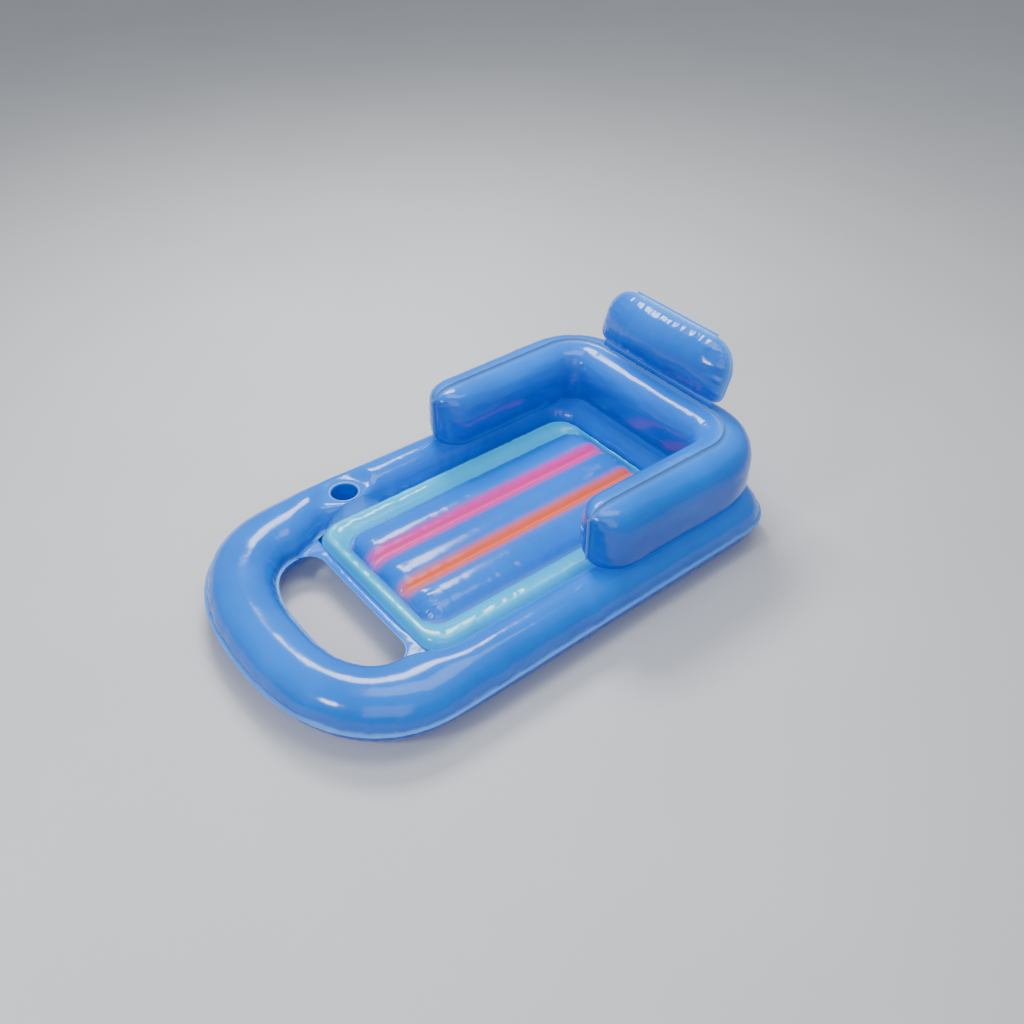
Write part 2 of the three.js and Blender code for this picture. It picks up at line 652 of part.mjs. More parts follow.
// ---------------------------------------------------------------- assembly
add("base_upper_sheet", cut(sheetGeometry(ringSheet(1), true), cupHole, ringValveHole), BLUE);
add("base_lower_sheet", sheetGeometry(ringSheet(-1), true), BLUE);
add("cross_band", crossBand, BLUE);
add("seat_border_sheet", sheetGeometry(borderSheet, true), CYAN);
add("seat_upper_sheet", sheetGeometry(seatSheet(1)), BLUE);
add("seat_lower_sheet", cut(sheetGeometry(seatSheet(-1)), seatValveHole), BLUE);
add("seat_web_pink", seatWeb().translate(-WEB_SPACING / 2, 0, 0), PINK);
add("seat_web_orange", seatWeb().translate(WEB_SPACING / 2, 0, 0), ORANGE);
add("cup_holder_liner", cupLiner, BLUE);
add("rest_outer_sheet", cut(sheetGeometry(restSheet(1)), restValveHole), BLUE);
add("rest_inner_sheet", sheetGeometry(restSheet(-1)), BLUE);
add("pillow_front_sheet", sheetGeometry(pillowSheet(-1)), BLUE, pillow);
add("pillow_back_sheet", cut(sheetGeometry(pillowSheet(1)), pillowValveHole), BLUE, pillow);
add("pillow_hinge_strip", hingeStrip, BLUE, pillow);

export default model;
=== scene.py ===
"""An inflatable pool lounge in clear coloured vinyl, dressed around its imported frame. Metres, +Z up."""
import json
import math

import bmesh
import bpy
from mathutils import Matrix, Vector, noise


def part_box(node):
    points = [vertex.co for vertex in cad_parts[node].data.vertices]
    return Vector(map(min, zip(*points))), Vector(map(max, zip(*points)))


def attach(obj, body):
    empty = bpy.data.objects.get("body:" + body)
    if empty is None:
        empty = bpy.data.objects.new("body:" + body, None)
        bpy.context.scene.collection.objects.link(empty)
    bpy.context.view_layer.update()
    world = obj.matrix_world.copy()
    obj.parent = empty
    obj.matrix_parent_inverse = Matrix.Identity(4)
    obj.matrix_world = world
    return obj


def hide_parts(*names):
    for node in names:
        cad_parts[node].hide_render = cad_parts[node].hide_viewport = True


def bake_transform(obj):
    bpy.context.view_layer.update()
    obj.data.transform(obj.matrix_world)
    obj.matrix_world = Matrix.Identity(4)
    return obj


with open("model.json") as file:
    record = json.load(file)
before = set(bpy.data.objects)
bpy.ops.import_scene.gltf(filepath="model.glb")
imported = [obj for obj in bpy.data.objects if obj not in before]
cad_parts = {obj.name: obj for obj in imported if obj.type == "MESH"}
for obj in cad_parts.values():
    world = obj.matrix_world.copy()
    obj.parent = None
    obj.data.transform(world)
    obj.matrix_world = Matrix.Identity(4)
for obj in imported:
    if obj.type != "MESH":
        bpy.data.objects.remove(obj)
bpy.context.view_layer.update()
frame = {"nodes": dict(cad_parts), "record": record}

# ---------------------------------------------------------------- sizes
ring_low, ring_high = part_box("base_lower_sheet")[0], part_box("base_upper_sheet")[1]
rest_low, rest_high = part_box("rest_outer_sheet")
cup_low, cup_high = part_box("cup_holder_liner")
band_low, band_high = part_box("cross_band")
border_low, border_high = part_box("seat_border_sheet")
seat_low, seat_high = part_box("seat_upper_sheet")
strip_low, strip_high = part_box("pillow_hinge_strip")
web_low, web_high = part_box("seat_web_orange")

FLANGE = 0.008  # width of a weld flange
WELD = 0.0006  # half the thickness of two welded sheets
SHEET = 0.0005
HALF_TURN = math.pi

BASE_HALF = ring_high.x
HEAD_HALF = BASE_HALF - 0.016
FOOT_Y, HEAD_Y = ring_low.y, ring_high.y
TUBE_Z = 0.073  # height of the ring's seam
FOOT_DEPTH = 0.318
FOOT_ROUNDNESS = 2.3
BASE_CORNER = 0.131
OPENING_HALF = 0.22
OPENING_FOOT_Y = FOOT_Y + 0.174
OPENING_ROUND = 0.12
OPENING_ROUNDNESS = 2.6
OPENING_BACK_Y = band_low.y + 0.05
WELL_HALF = 0.265
WELL_FRONT_Y = band_high.y
WELL_BACK_Y = HEAD_Y - 0.187
WELL_CORNER = 0.06

CUP = Vector(((cup_low.x + cup_high.x) / 2, (cup_low.y + cup_high.y) / 2, cup_high.z))
CUP_RADIUS = 0.034
CUP_DEPTH = cup_high.z - cup_low.z
PAD_Z = 0.128

BORDER_HALF = border_high.x
BORDER_EDGE_Z = border_low.z
RIDGE_HALF = 0.243
RIDGE_Z = 0.103
RIDGE_MARGIN = 0.015
SEAT_HALF = seat_high.x - FLANGE
SEAT_FRONT_Y, SEAT_BACK_Y = seat_low.y + FLANGE, seat_high.y - FLANGE
SEAT_Z = 0.085
SEAT_CORNER = 0.05
SEAT_END = 0.05
WEB_X = (web_low.x + web_high.x) / 2
WEB_HALF_HEIGHT = 0.011
SEAT_ROLL = 0.036

REST_X = 0.304
REST_Y = 0.585
REST_CORNER = 0.11
REST_FRONT_Y = rest_low.y + FLANGE
REST_HALF = 0.075
REST_END = 0.078
REST_LOW, REST_TOP = rest_low.z, rest_high.z - FLANGE
REST_FULLNESS = 2.5

HINGE = Vector((0, REST_Y, (strip_low.z + strip_high.z) / 2))
PILLOW_LEAN = math.radians(20)
PILLOW_FOOT = 0.0053 + FLANGE
PILLOW_HALF = 0.215
PILLOW_HEIGHT = 0.152
PILLOW_FRONT, PILLOW_BACK = 0.056, 0.048
PILLOW_TOP_CORNER = 0.08
PILLOW_FOOT_CORNER = 0.03
PILLOW_SWELL = 0.42

VALVE_HOLE = 0.0088
VALVE_PATCH = 0.024  # edges this near a valve are split
VALVE_DEPTH = 0.03  # film further than this from a flange's plane is another wall
VALVE_SEAT = 0.017  # the film is level this far round a valve
VALVE_BLEND = 0.048

# seam marks the welds; pink and orange mark a painted glow of the webs on the seat film.
MARKS = ("seam", "pink", "orange")


# ---------------------------------------------------------------- outlines
def super_quarter(centre_y, half, depth, power, steps):
    """Rounded quarter from (0, centre_y - depth) out to (half, centre_y)."""
    turns = [HALF_TURN / 2 * k / steps for k in range(steps + 1)]
    return [
        Vector((half * math.sin(t) ** (2 / power), centre_y - depth * max(math.cos(t), 0) ** (2 / power)))
        for t in turns
    ]


def straight(start, end, steps):
    return [Vector(start).lerp(Vector(end), k / steps) for k in range(steps + 1)]


def quarter(centre, radius, start, steps, turn=1):
    angles = [start + turn * HALF_TURN / 2 * k / steps for k in range(steps + 1)]
    return [Vector(centre) + radius * Vector((math.cos(a), math.sin(a))) for a in angles]


def joined(*stretches):
    """Stretches laid end to end, each without its first point after the first one."""
    return stretches[0] + [point for stretch in stretches[1:] for point in stretch[1:]]


def whole(half):
    """A half outline on +X, closed by its mirror image."""
    return half + [Vector((-p.x, p.y)) for p in half[-2:0:-1]]


def eased(outline, rounds):
    """A closed outline with its corners between stretches eased."""
    for _ in range(rounds):
        count = len(outline)
        outline = [
            (outline[k - 1] + 2 * outline[k] + outline[(k + 1) % count]) / 4 for k in range(count)
        ]
    return outline


def rounded_well(half, front, back, radius):
    """A rounded rectangle, with the same number of points whatever its size."""
    return whole(
        joined(
            straight((0, front), (half - radius, front), 22),
            quarter((half - radius, front + radius), radius, -HALF_TURN / 2, 14),
            straight((half, front + radius), (half, back - radius), 88),
            quarter((half - radius, back - radius), radius, 0, 14),
            straight((half - radius, back), (0, back), 22),
        )
    )


# ---------------------------------------------------------------- making pieces
def gather(along, side, reach, size):
    """The small gathers that a weld pulls into the film at a distance `reach` from it."""
    fine = noise.noise(Vector((along / 0.011, 7.3 * side, reach / 0.06)))
    broad = noise.noise(Vector((along / 0.034, 3.1 * side + 5, reach / 0.09)))
    return size * (fine + 0.8 * broad) * math.exp(-reach / 0.026) * (1 - math.exp(-reach / 0.004))


def slack(point, size=0.0012):
    """The gentle unevenness of blown-up film."""
    return size * noise.noise(Vector(point) / 0.075)


def surface(across, along, place, facing=None):
    """A grid whose corners `place` puts; where its edges meet they are joined, and it faces outwards."""
    bm = bmesh.new()
    bmesh.ops.create_grid(bm, x_segments=across, y_segments=along, size=0.5)
    layers = [bm.verts.layers.float.new(mark) for mark in MARKS]
    for vert in bm.verts:
        row = round((vert.co.x + 0.5) * across)
        column = round((vert.co.y + 0.5) * along)
        point, marks = place(row, column)
        vert.co = point
        for layer, value in zip(layers, marks):
            vert[layer] = value
    bmesh.ops.remove_doubles(bm, verts=bm.verts, dist=1e-6)
    gaps = [edge for edge in bm.edges if edge.is_boundary]
    if facing is None:
        if gaps:
            bmesh.ops.holes_fill(bm, edges=gaps, sides=0)
        bmesh.ops.recalc_face_normals(bm, faces=bm.faces)
    else:
        bm.normal_update()
        if sum(face.normal.dot(facing) for face in bm.faces) < 0:
            bmesh.ops.reverse_faces(bm, faces=bm.faces)
    return bm


def joint_axis(name):
    joints = frame["record"]["behaviour"]["joints"]
    return Vector(next(joint for joint in joints if joint["name"] == name)["axis"])


def middle_of(node):
    low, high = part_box(node)
    return (low + high) / 2


def seat_valve(bm, valve):
    """Levels the film under a valve's flange and opens it for the stem."""
    out = joint_axis(valve + "_plug_pull").normalized()
    foot = middle_of(valve + "_valve_stem") - out * 0.0049

    def height_and_reach(vert):
        offset = vert.co - foot
        height = offset.dot(out)
        return height, (offset - out * height).length

    def near(vert, reach):
        height, apart = height_and_reach(vert)
        return abs(height) < VALVE_DEPTH and apart < reach

    patch = [edge for edge in bm.edges if all(near(vert, VALVE_PATCH) for vert in edge.verts)]
    bmesh.ops.subdivide_edges(bm, edges=patch, cuts=2, use_grid_fill=True)
    for vert in bm.verts:
        height, apart = height_and_reach(vert)
        if abs(height) < VALVE_DEPTH and apart < VALVE_BLEND:
            share = max((apart - VALVE_SEAT) / (VALVE_BLEND - VALVE_SEAT), 0)
            vert.co -= out * height * (1 - share * share * (3 - 2 * share))
    middle = [vert for vert in bm.verts if near(vert, VALVE_HOLE)]
    bmesh.ops.delete(bm, geom=middle, context="VERTS")
    bm.normal_update()


def piece(name, bm, body, nodes, material):
    """Puts a finished mesh in the scene, on its body and in place of its CAD nodes."""
    mesh = bpy.data.meshes.new(name)
    bm.to_mesh(mesh)
    bm.free()
    mesh.polygons.foreach_set("use_smooth", [True] * len(mesh.polygons))
    mesh.materials.append(material)
    made = bpy.data.objects.new(name, mesh)
    bpy.context.scene.collection.objects.link(made)
    if nodes:
        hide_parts(*nodes)
    if body:
        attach(made, body)
    return made


def thicken(made, thickness=SHEET):
    wall = made.modifiers.new("wall", "SOLIDIFY")
    wall.thickness = thickness
    wall.offset = -1
    return made


# ---------------------------------------------------------------- finishes
class Shade:
    """A shader socket that takes part in Python sums."""

    def __init__(self, finish, socket):
        self.finish = finish
        self.socket = socket

    def _maths(self, operation, left, right):
        return self.finish.node("ShaderNodeMath", {"operation": operation}, {0: left, 1: right})

    def __add__(self, other):
        return self._maths("ADD", self, other)

    def __radd__(self, other):
        return self._maths("ADD", other, self)

    def __sub__(self, other):
        return self._maths("SUBTRACT", self, other)

    def __mul__(self, other):
        return self._maths("MULTIPLY", self, other)

    def __rmul__(self, other):
        return self._maths("MULTIPLY", other, self)


class Finish:
    """A material under construction."""

    def __init__(self, name):
        self.material = bpy.data.materials.new(name)
        self.material.use_nodes = True
        self.tree = self.material.node_tree
        self.shader = self.tree.nodes["Principled BSDF"]

    def node(self, kind, settings, inputs, output=0):
        made = self.tree.nodes.new(kind)
        for key, value in settings.items():
            if key == "stops":
                self.stops(made.color_ramp, value)
            else:
                setattr(made, key, value)
        for key, value in inputs.items():
            self.feed(made.inputs[key], value)
        return Shade(self, made.outputs[output])

    def stops(self, ramp, stops):
        while len(ramp.elements) < len(stops):
            ramp.elements.new(0.5)
        for element, (place, colour) in zip(ramp.elements, stops):
            element.position = place
            element.color = colour

    def feed(self, socket, value):
        if isinstance(value, Shade):
            self.tree.links.new(value.socket, socket)
        else:
            socket.default_value = value

    def set(self, **inputs):
        for key, value in inputs.items():
            self.feed(self.shader.inputs[key.replace("_", " ")], value)

    def place(self):
        return self.node("ShaderNodeTexCoord", {}, {}, "Object")

    def mark(self, name):
        return self.node("ShaderNodeAttribute", {"attribute_name": name}, {}, "Fac")

    def clouds(self, scale, detail=3.0, roughness=0.5):
        inputs = {"Vector": self.place(), "Scale": scale, "Detail": detail, "Roughness": roughness}
        return self.node("ShaderNodeTexNoise", {}, inputs)

    def blend(self, share, first, second):
        return self.node("ShaderNodeMix", {"data_type": "RGBA"}, {0: share, 6: first, 7: second}, 2)

    def upward(self):
        normal = self.node("ShaderNodeTexCoord", {}, {}, "Normal")
        return self.node("ShaderNodeSeparateXYZ", {}, {0: normal}, 2)

    def bump(self, height, distance, strength=1.0):
        inputs = {"Height": height, "Distance": distance, "Strength": strength}
        return self.node("ShaderNodeBump", {}, inputs)


def tint(red, green, blue):
    return (red, green, blue, 1)


# Paler weld colour: partly the frosted weld, partly a painted highlight along it.
PALE_WELD_AND_SHEEN = tint(0.22, 0.50, 0.88)
PINK = tint(0.95, 0.03, 0.36)
ORANGE = tint(1.0, 0.14, 0.005)
PAINTED_GLOW = 0.20  # strength of a painted glow: the film emits its own colour though it is no lamp


def clear_vinyl(name, shaded, lit, cover, seam=PALE_WELD_AND_SHEEN, webs=False):
    """Glossy see-through film: painted light makes it paler where it faces up and painted shade makes it
    deeper underneath; it is paler along its welds too, partly frosting and partly a painted highlight.
    """
    film = Finish(name)
    patches = film.clouds(6.0, 4.0)
    # Painted light and shade: the film is paler where it faces up and deeper where it faces down, with
    # random patches mixed in.
    painted_light = film.node("ShaderNodeMapRange", {}, {0: film.upward() + 0.7 * patches, 1: 0.1, 2: 1.4})
    colour = film.blend(painted_light, shaded, lit)
    # Painted glow of the coloured webs seen through the top film: the pink and orange marks tint its
    # colour.
    if webs:
        colour = film.blend(film.mark("pink"), colour, PINK)
        colour = film.blend(film.mark("orange"), colour, ORANGE)
    weld = film.mark("seam")
    streaks = film.clouds(240.0, 2.0)
    # Paler welds, in streaks: partly the frosted weld, partly a painted highlight along it.
    film.set(Base_Color=film.blend(0.5 * weld * (0.6 + 0.8 * streaks), colour, seam))
    film.set(Roughness=0.1 + 0.1 * patches + 0.22 * weld)
    film.set(Alpha=cover + 0.3 * weld + 0.16 * (patches - 0.5))
    crinkle = film.clouds(22.0, 4.0, 0.5)
    grain = film.clouds(420.0, 2.0)
    film.set(Normal=film.bump(crinkle + 0.05 * grain + 0.3 * weld * streaks, 0.0010))
    # Painted glow: the film's colour is emitted as light, though it is no lamp.
    film.set(Emission_Color=colour)
    film.shader.inputs["Emission Strength"].default_value = PAINTED_GLOW
    film.shader.inputs["IOR"].default_value = 1.48
    film.shader.inputs["Coat Weight"].default_value = 0.15
    film.shader.inputs["Coat Roughness"].default_value = 0.06
    return film.material


def moulded_vinyl():
    """Soft clear mouldings of the valves, a little milky."""
    film = Finish("moulded valve vinyl")
    milk = film.clouds(90.0, 3.0)
    film.set(Base_Color=film.blend(milk, tint(0.55, 0.70, 0.84), tint(0.80, 0.88, 0.95)))
    film.set(Roughness=0.22 + 0.16 * milk, Alpha=0.82 + 0.16 * milk)
    film.set(Normal=film.bump(film.clouds(700.0, 2.0), 0.0002))
    film.shader.inputs["IOR"].default_value = 1.53
    return film.material


def studio_floor():
    film = Finish("pale studio floor")
    dust = film.clouds(1.5, 4.0)
    film.set(Base_Color=film.blend(dust, tint(0.70, 0.71, 0.72), tint(0.78, 0.79, 0.80)))
    film.set(Roughness=0.6 + 0.1 * dust)
    return film.material


azure = clear_vinyl("azure film", tint(0.0, 0.055, 0.42), tint(0.0, 0.225, 0.95), 0.92)
seat_azure = clear_vinyl("seat film", tint(0.0, 0.055, 0.42), tint(0.0, 0.215, 0.92), 0.88, webs=True)
cyan = clear_vinyl("cyan film", tint(0.0, 0.30, 0.68), tint(0.0, 0.60, 1.0), 0.93, tint(0.30, 0.85, 1.0))
pink = clear_vinyl("pink film", tint(0.55, 0.02, 0.24), PINK, 0.85, tint(1.0, 0.6, 0.8))
orange = clear_vinyl("orange film", tint(0.75, 0.07, 0.01), ORANGE, 0.85, tint(1.0, 0.7, 0.4))
valve_clear = moulded_vinyl()


# ---------------------------------------------------------------- base ring
def outer_half(y):
    share = (y - FOOT_Y - FOOT_DEPTH) / (HEAD_Y - BASE_CORNER - FOOT_Y - FOOT_DEPTH)
    return BASE_HALF + (HEAD_HALF - BASE_HALF) * share


def ring_stations():
    """Middle, outward direction and half width of the tube all round the ring."""
    shoulder = FOOT_Y + FOOT_DEPTH
    cup_front = CUP.y - 0.1
    corner_y = HEAD_Y - BASE_CORNER
    opening_shoulder = OPENING_FOOT_Y + OPENING_ROUND
    steps = {"foot": 72, "shoulder": 8, "side": 104, "corner": 34, "head": 20}
    outer = whole(
        joined(
            super_quarter(shoulder, BASE_HALF, FOOT_DEPTH, FOOT_ROUNDNESS, steps["foot"]),
            straight((BASE_HALF, shoulder), (outer_half(cup_front), cup_front), steps["shoulder"]),
            straight((outer_half(cup_front), cup_front), (HEAD_HALF, corner_y), steps["side"]),
            quarter((HEAD_HALF - BASE_CORNER, corner_y), BASE_CORNER, 0, steps["corner"]),
            straight((HEAD_HALF - BASE_CORNER, HEAD_Y), (0, HEAD_Y), steps["head"]),
        )
    )
    inner = whole(
        joined(
            super_quarter(opening_shoulder, OPENING_HALF, OPENING_ROUND, OPENING_ROUNDNESS, steps["foot"]),
            straight((OPENING_HALF, opening_shoulder), (WELL_HALF, cup_front), steps["shoulder"]),
            straight((WELL_HALF, cup_front), (WELL_HALF, WELL_BACK_Y - WELL_CORNER), steps["side"]),
            quarter((WELL_HALF - WELL_CORNER, WELL_BACK_Y - WELL_CORNER), WELL_CORNER, 0, steps["corner"]),
            straight((WELL_HALF - WELL_CORNER, WELL_BACK_Y), (0, WELL_BACK_Y), steps["head"]),
        )
    )
    pairs = list(zip(eased(outer, 6), eased(inner, 6)))
    return [((a + b) / 2, (a - b).normalized(), (a - b).length / 2 - FLANGE) for a, b in pairs]


def travelled(stations):
    """Distance along the middle line up to each station."""
    total, marks = 0.0, []
    for k, station in enumerate(stations):
        if k:
            total += (station[0] - stations[k - 1][0]).length
        marks.append(total)
    return marks


def pad_share(x, y):
    distance = math.hypot(x - CUP.x, y - CUP.y)
    share = min(max((distance - 0.048) / 0.050, 0), 1)
    return 1 - share * share * (3 - 2 * share)


def ring_section(turns):
    """Round the tube from its outer flange tip: (side, angle from the seam, flange reach)."""
    half_loop = [(1, 0, 1), (1, 0, 0.5), (1, 0, 0)]
    half_loop += [(1, HALF_TURN * k / turns, 0) for k in range(1, turns)]
    half_loop += [(1, HALF_TURN, 0), (1, HALF_TURN, 0.5), (1, HALF_TURN, 1)]
    return half_loop + [(-1, angle, reach) for _, angle, reach in reversed(half_loop)]


def make_ring():
    stations = ring_stations()
    run = travelled(stations)
    section = ring_section(34)
    count, loop = len(stations), len(section)

    def place(row, column):
        middle, outward, half = stations[row % count]
        side, angle, reach = section[column % loop]
        end = 1 if angle < HALF_TURN / 2 else -1
        along = run[row % count]
        from_seam = half * min(angle, HALF_TURN - angle)
        puff = gather(along, 2 * end + side, from_seam, 0.0056) if not reach else 0
        wave = 0.0014 * reach * noise.noise(Vector((along / 0.017, end, 0)))
        swell = 1 + puff / half
        offset = half * math.cos(angle) * swell + end * FLANGE * reach
        height = side * (WELD + (TUBE_Z - WELD) * math.sin(angle) * swell) + wave
        flat = middle + outward * offset
        z = TUBE_Z + height
        if side > 0 and 0 < angle < HALF_TURN:
            z += slack((flat.x, flat.y, z))
            z += (PAD_Z - z) * pad_share(flat.x, flat.y)
        seam = math.exp(-from_seam / 0.004) if not reach else 1
        return Vector((flat.x, flat.y, max(z, 0))), (seam, 0, 0)

    bm = surface(count, loop, place)
    inside = [
        vert
        for vert in bm.verts
        if vert.co.z > TUBE_Z + 0.03 and math.hypot(vert.co.x - CUP.x, vert.co.y - CUP.y) < CUP_RADIUS
    ]
    bmesh.ops.delete(bm, geom=inside, context="VERTS")
    seat_valve(bm, "base")
    sheets = ["base_upper_sheet", "base_lower_sheet"]
    return piece("base_ring_film", bm, "root", sheets, azure)


def make_cup():
    """The well a can stands in: a welded rim, a slightly slack wall and a floor with a weld ring."""
    profile = [
        (0.0, -CUP_DEPTH + 0.0008), (0.012, -CUP_DEPTH + 0.0010), (0.022, -CUP_DEPTH + 0.0022),
        (0.028, -CUP_DEPTH + 0.0012), (CUP_RADIUS - 0.002, -CUP_DEPTH + 0.0012),
        (CUP_RADIUS - 0.0004, -CUP_DEPTH + 0.004), (CUP_RADIUS + 0.0004, -CUP_DEPTH * 0.75),
        (CUP_RADIUS - 0.0004, -CUP_DEPTH * 0.45), (CUP_RADIUS, -CUP_DEPTH * 0.15),
        (CUP_RADIUS + 0.0004, -0.0035), (CUP_RADIUS + 0.0018, -0.0008), (CUP_RADIUS + 0.0038, 0.0006),
        (CUP_RADIUS + 0.0068, 0.0006), (CUP_RADIUS + 0.0082, -0.0006),
    ]
    bm = bmesh.new()
    spine = [bm.verts.new((CUP.x + r, CUP.y, CUP.z + h)) for r, h in profile]
    for low, high in zip(spine, spine[1:]):
        bm.edges.new((low, high))
    bmesh.ops.spin(
        bm,
        geom=bm.verts[:] + bm.edges[:],
        cent=CUP,
        axis=(0, 0, 1),
        angle=2 * HALF_TURN,
        steps=64,
        use_merge=True,
    )
    bmesh.ops.remove_doubles(bm, verts=bm.verts, dist=1e-6)
    layer = bm.verts.layers.float.new("seam")
    for vert in bm.verts:
        depth = CUP.z - vert.co.z
        turn = math.atan2(vert.co.y - CUP.y, vert.co.x - CUP.x)
        crease = 0.0011 * noise.noise(Vector((math.cos(turn) * 3, math.sin(turn) * 3, depth / 0.02)))
        reach = Vector((vert.co.x - CUP.x, vert.co.y - CUP.y, 0))
        if 0.004 < depth < CUP_DEPTH - 0.003:
            vert.co += reach.normalized() * crease
        vert[layer] = 1.0 if depth < 0.002 else 0.8 * math.exp(-((reach.length - 0.025) / 0.003) ** 2)
    bm.normal_update()
    floor = min(bm.faces, key=lambda face: (face.calc_center_median() - CUP).to_2d().length)
    if floor.normal.z < 0:
        bmesh.ops.reverse_faces(bm, faces=bm.faces)
    cup = piece("cup_holder_well", bm, "root", ["cup_holder_liner"], azure)
    return thicken(cup)


def make_band():
    """The flat band between the foot opening and the seat, flaring out onto the ring at both ends."""
    rows, columns = 96, 14

    def place(row, column):
        across = 2 * row / rows - 1
        share = column / columns
        back_half = WELL_HALF - 0.014
        x = across * (back_half + 0.004 - 0.022 * (1 - share))
        flare = max(abs(x) - (OPENING_HALF - 0.05), 0)
        front = OPENING_BACK_Y - 0.05 + math.sqrt(max(0.05**2 - min(flare, 0.05) ** 2, 0))
        y = front + (WELL_FRONT_Y - front) * share
        gathers = 0.0009 * noise.noise(Vector((x / 0.016, share * 1.5, 4)))
        sag = -0.004 * (1 - across * across) * math.sin(HALF_TURN * share)
        hem = math.exp(-(y - front) / 0.0025)
        return Vector((x, y, band_high.z + sag + gathers * abs(across) + 0.0012 * hem)), (0.6 * hem, 0, 0)

    bm = surface(rows, columns, place, Vector((0, 0, 1)))
    return thicken(piece("cross_band_film", bm, "root", ["cross_band"], azure), 0.001)


# ---------------------------------------------------------------- seat
def make_border():
    """The cyan skirt: up from the ring's seam to a welded ridge, then down to the mattress."""
    front, back = min(border_low.y, WELL_FRONT_Y - 0.005), border_high.y
    outer = rounded_well(BORDER_HALF, front, back, WELL_CORNER + 0.005)
    ridge = rounded_well(RIDGE_HALF, front + RIDGE_MARGIN, back - RIDGE_MARGIN, SEAT_CORNER + 0.005)
    inner = rounded_well(
        SEAT_HALF + 0.003, SEAT_FRONT_Y - 0.003, SEAT_BACK_Y + 0.003, SEAT_CORNER + 0.003
    )
    run = travelled([(point,) for point in ridge])
    inner_z = SEAT_Z + 0.0015
    steps = 26
    crest = 13

    def place(row, column):
        k = row % len(outer)
        along = run[k]
        if column <= crest:
            share = column / crest
            flat = outer[k].lerp(ridge[k], share)
            z = BORDER_EDGE_Z + (RIDGE_Z - BORDER_EDGE_Z) * math.sin(HALF_TURN / 2 * share) ** 0.9
        else:
            share = (column - crest) / (steps - crest)
            flat = ridge[k].lerp(inner[k], share)
            drop = 1 - math.cos(HALF_TURN / 2 * share)
            z = RIDGE_Z + (inner_z - RIDGE_Z) * drop + 0.004 * math.sin(HALF_TURN * share)
        reach = abs(column - crest) / crest * 0.03
        z += gather(along, column > crest, reach + 0.004, 0.0034) * (1 - abs(column - crest) / crest)
        weld = math.exp(-((column - crest) / 0.9) ** 2)
        edge = math.exp(-min(column, steps - column) / 1.2)
        z += 0.0012 * weld
        return Vector((flat.x, flat.y, z)), (max(0.9 * weld, 0.3 * edge), 0, 0)

    bm = surface(len(outer), steps, place, Vector((0, 0, 1)))
    return thicken(piece("seat_border_film", bm, "root", ["seat_border_sheet"], cyan))


def roll_height(x):
    """Height of the mattress face above its seam: three lengthwise rolls between the webs."""
    x = abs(x)
    if x <= WEB_X:
        return WEB_HALF_HEIGHT + (SEAT_ROLL - WEB_HALF_HEIGHT) * math.sqrt(max(1 - (x / WEB_X) ** 2, 0))
    share = min((x - WEB_X) / (SEAT_HALF - WEB_X), 1)
    crest = SEAT_ROLL - WEB_HALF_HEIGHT / 2
    return WEB_HALF_HEIGHT * (1 - share) + crest * math.sqrt(max(1 - (2 * share - 1) ** 2, 0))


def seat_inset(y):
    depth = max(SEAT_FRONT_Y + SEAT_CORNER - y, y - SEAT_BACK_Y + SEAT_CORNER, 0)
    return SEAT_CORNER - math.sqrt(max(SEAT_CORNER**2 - min(depth, SEAT_CORNER) ** 2, 0))


def make_mattress():
    """The blown-up mattress, its face drawn down onto two coloured webs."""
    rows, turns = 190, 84
    length = SEAT_BACK_Y - SEAT_FRONT_Y
    columns = [(side, k) for side in (1, -1) for k in range(turns + 5)]

    def place(row, column):
        share = (1 - math.cos(HALF_TURN * row / rows)) / 2
        share = 0.6 * share + 0.4 * row / rows
        y = SEAT_FRONT_Y - FLANGE + (length + 2 * FLANGE) * share
        inside = min(y - SEAT_FRONT_Y, SEAT_BACK_Y - y)
        closing = min(max(inside / SEAT_END, 0), 1)
        rise = math.sqrt(1 - (1 - closing) ** 2)
        side, k = columns[column % len(columns)]
        k = k if side > 0 else turns + 4 - k
        squeeze = (SEAT_HALF - seat_inset(y)) / SEAT_HALF
        flange = {0: -1, 1: -0.5, turns + 3: 0.5, turns + 4: 1}.get(k, 0)
        angle = HALF_TURN * (min(max(k - 2, 0), turns)) / turns
        spread = -(0.45 * math.cos(angle) + 0.55 * (1 - 2 * angle / HALF_TURN))
        x = SEAT_HALF * spread * squeeze + flange * FLANGE
        height = 0 if flange or k in (2, turns + 2) else roll_height(SEAT_HALF * spread) * rise
        from_web = abs(abs(x) - WEB_X)
        from_edge = max(SEAT_HALF * squeeze - abs(x), 0)
        pinch = 0.0
        if height:
            pinch = gather(y / 2.4, side + (x > 0), from_web, 0.0016)
            pinch += gather(y, 4 * side + (x > 0), from_edge, 0.0022)
            pinch += gather(x, 9 * side + (y > 0), max(inside, 0), 0.007)
        weld = math.exp(-((from_web / 0.0045) ** 2)) * rise
        # Painted glow of the webs seen through the top face, tinting it pink and orange beside them.
        painted_web_glow = math.exp(-((from_web / 0.027) ** 4)) * rise * (side > 0)
        seam = max(1.0 if flange or inside < 0 else math.exp(-from_edge / 0.004), 0.5 * weld)
        z = SEAT_Z + side * (WELD + height + pinch * min(rise * 1.5, 1))
        return Vector((x, y, z)), (seam, painted_web_glow * (x < 0), painted_web_glow * (x > 0))

    bm = surface(rows, len(columns), place)
    seat_valve(bm, "seat")
    mattress = piece(
        "seat_mattress_film", bm, "root", ["seat_upper_sheet", "seat_lower_sheet"], seat_azure
    )
    return mattress


